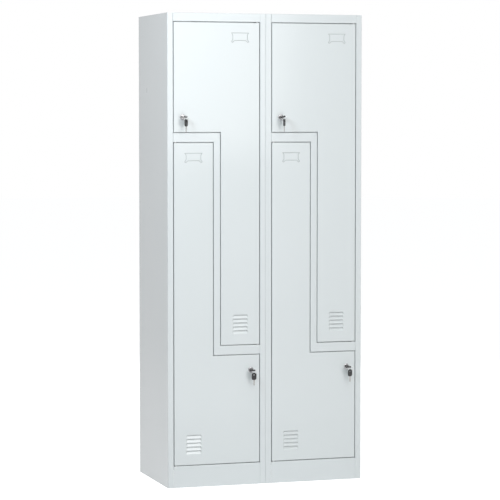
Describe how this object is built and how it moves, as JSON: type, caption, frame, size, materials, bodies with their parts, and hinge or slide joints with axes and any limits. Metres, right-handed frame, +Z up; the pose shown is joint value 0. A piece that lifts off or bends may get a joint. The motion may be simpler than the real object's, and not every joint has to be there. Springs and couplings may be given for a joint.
{
  "type": "two-bay Z-door steel locker wardrobe",
  "caption": "Tall pale-grey steel wardrobe locker, two bays side by side, each with two interlocking L-shaped doors, louvres, card holders and cam locks with keys",
  "frame": {"origin": "on the floor, in the middle of the bounding box with the doors shut and the keys in their locks", "axes": "+Z up, -Y towards the doors' front, +X to the right as seen from the front"},
  "size_m": [0.8004, 0.4744, 1.85],
  "materials": {
    "door_paint": "pale grey glossy powder coat on the doors",
    "carcass_paint": "pale grey glossy powder coat on the carcass and Z frame",
    "inner_paint": "pale grey satin powder coat inside",
    "chrome": "bright plated lock barrel and plug",
    "steel": "zinc plated rods, pins, bolts, cams and key rings",
    "black_plastic": "black moulded key head on a steel blade"
  },
  "bodies": {
    "carcass": {"left_bay_left_side": "carcass_paint", "left_bay_right_side": "carcass_paint", "left_bay_back": "carcass_paint", "left_bay_top": "carcass_paint", "left_bay_floor": "carcass_paint", "left_bay_z_frame": "carcass_paint", "left_bay_divider": "inner_paint", "left_upper_rod": "steel", "left_lower_rod": "steel", "left_upper_door_top_pin": "steel", "left_upper_door_bottom_pin": "steel", "left_lower_door_top_pin": "steel", "left_lower_door_bottom_pin": "steel", "right_bay_left_side": "carcass_paint", "right_bay_right_side": "carcass_paint", "right_bay_back": "carcass_paint", "right_bay_top": "carcass_paint", "right_bay_floor": "carcass_paint", "right_bay_z_frame": "carcass_paint", "right_bay_divider": "inner_paint", "right_upper_rod": "steel", "right_lower_rod": "steel", "right_upper_door_top_pin": "steel", "right_upper_door_bottom_pin": "steel", "right_lower_door_top_pin": "steel", "right_lower_door_bottom_pin": "steel", "lower_bay_bolt": "steel", "upper_bay_bolt": "steel"},
    "left_upper_leaf": {"left_upper_door": "door_paint", "left_upper_stiffener": "inner_paint", "left_upper_lock_barrel": "chrome"},
    "left_upper_core": {"left_upper_lock_plug": "chrome", "left_upper_cam": "steel"},
    "left_upper_lock_key": {"left_upper_key": "black_plastic"},
    "left_upper_ring_set": {"left_upper_key_ring": "steel", "left_upper_spare_key": "black_plastic"},
    "left_lower_leaf": {"left_lower_door": "door_paint", "left_lower_stiffener": "inner_paint", "left_lower_lock_barrel": "chrome"},
    "left_lower_core": {"left_lower_lock_plug": "chrome", "left_lower_cam": "steel"},
    "left_lower_lock_key": {"left_lower_key": "black_plastic"},
    "left_lower_ring_set": {"left_lower_key_ring": "steel", "left_lower_spare_key": "black_plastic"},
    "right_upper_leaf": {"right_upper_door": "door_paint", "right_upper_stiffener": "inner_paint", "right_upper_lock_barrel": "chrome"},
    "right_upper_core": {"right_upper_lock_plug": "chrome", "right_upper_cam": "steel"},
    "right_upper_lock_key": {"right_upper_key": "black_plastic"},
    "right_upper_ring_set": {"right_upper_key_ring": "steel", "right_upper_spare_key": "black_plastic"},
    "right_lower_leaf": {"right_lower_door": "door_paint", "right_lower_stiffener": "inner_paint", "right_lower_lock_barrel": "chrome"},
    "right_lower_core": {"right_lower_lock_plug": "chrome", "right_lower_cam": "steel"},
    "right_lower_lock_key": {"right_lower_key": "black_plastic"},
    "right_lower_ring_set": {"right_lower_key_ring": "steel", "right_lower_spare_key": "black_plastic"}
  },
  "joints": [
    {"name": "left_upper_door_hinge", "type": "hinge", "parent": "carcass", "child": "left_upper_leaf", "pos_m": [-0.03415, -0.18685, 0.951], "axis": [0, 0, 1], "range_deg": [0, 95]},
    {"name": "left_upper_lock_turn", "type": "hinge", "parent": "left_upper_leaf", "child": "left_upper_core", "pos_m": [-0.33865, -0.19284, 1.4475], "axis": [0, -1, 0], "range_deg": [0, 90]},
    {"name": "left_upper_key_slide", "type": "slide", "parent": "left_upper_core", "child": "left_upper_lock_key", "axis": [0, -1, 0], "range_m": [0, 0.024]},
    {"name": "left_upper_ring_swing", "type": "hinge", "parent": "left_upper_lock_key", "child": "left_upper_ring_set", "pos_m": [-0.33393, -0.22579, 1.4475], "axis": [-0.7431, -0.6691, 0], "range_deg": [-5, 60]},
    {"name": "left_lower_door_hinge", "type": "hinge", "parent": "carcass", "child": "left_lower_leaf", "pos_m": [-0.36615, -0.18685, 0.951], "axis": [0, 0, -1], "range_deg": [0, 95]},
    {"name": "left_lower_lock_turn", "type": "hinge", "parent": "left_lower_leaf", "child": "left_lower_core", "pos_m": [-0.06165, -0.19284, 0.4545], "axis": [0, 1, 0], "range_deg": [0, 90]},
    {"name": "left_lower_key_slide", "type": "slide", "parent": "left_lower_core", "child": "left_lower_lock_key", "axis": [0, -1, 0], "range_m": [0, 0.024]},
    {"name": "left_lower_ring_swing", "type": "hinge", "parent": "left_lower_lock_key", "child": "left_lower_ring_set", "pos_m": [-0.05847, -0.22606, 0.4545], "axis": [-0.866, -0.5, 0], "range_deg": [-5, 60]},
    {"name": "right_upper_door_hinge", "type": "hinge", "parent": "carcass", "child": "right_upper_leaf", "pos_m": [0.36615, -0.18685, 0.951], "axis": [0, 0, 1], "range_deg": [0, 95]},
    {"name": "right_upper_lock_turn", "type": "hinge", "parent": "right_upper_leaf", "child": "right_upper_core", "pos_m": [0.06165, -0.19284, 1.4475], "axis": [0, -1, 0], "range_deg": [-16, 74]},
    {"name": "right_upper_key_slide", "type": "slide", "parent": "right_upper_core", "child": "right_upper_lock_key", "axis": [0, -1, 0], "range_m": [0, 0.024]},
    {"name": "right_upper_ring_swing", "type": "hinge", "parent": "right_upper_lock_key", "child": "right_upper_ring_set", "pos_m": [0.06554, -0.22591, 1.44861], "axis": [-0.7986, -0.6018, 0], "range_deg": [-5, 60]},
    {"name": "right_lower_door_hinge", "type": "hinge", "parent": "carcass", "child": "right_lower_leaf", "pos_m": [0.03415, -0.18685, 0.951], "axis": [0, 0, -1], "range_deg": [0, 95]},
    {"name": "right_lower_lock_turn", "type": "hinge", "parent": "right_lower_leaf", "child": "right_lower_core", "pos_m": [0.33865, -0.19284, 0.4545], "axis": [0, 1, 0], "range_deg": [0, 90]},
    {"name": "right_lower_key_slide", "type": "slide", "parent": "right_lower_core", "child": "right_lower_lock_key", "axis": [0, -1, 0], "range_m": [0, 0.024]},
    {"name": "right_lower_ring_swing", "type": "hinge", "parent": "right_lower_lock_key", "child": "right_lower_ring_set", "pos_m": [0.34231, -0.22598, 0.4545], "axis": [-0.829, -0.5592, 0], "range_deg": [-5, 60]}
  ]
}
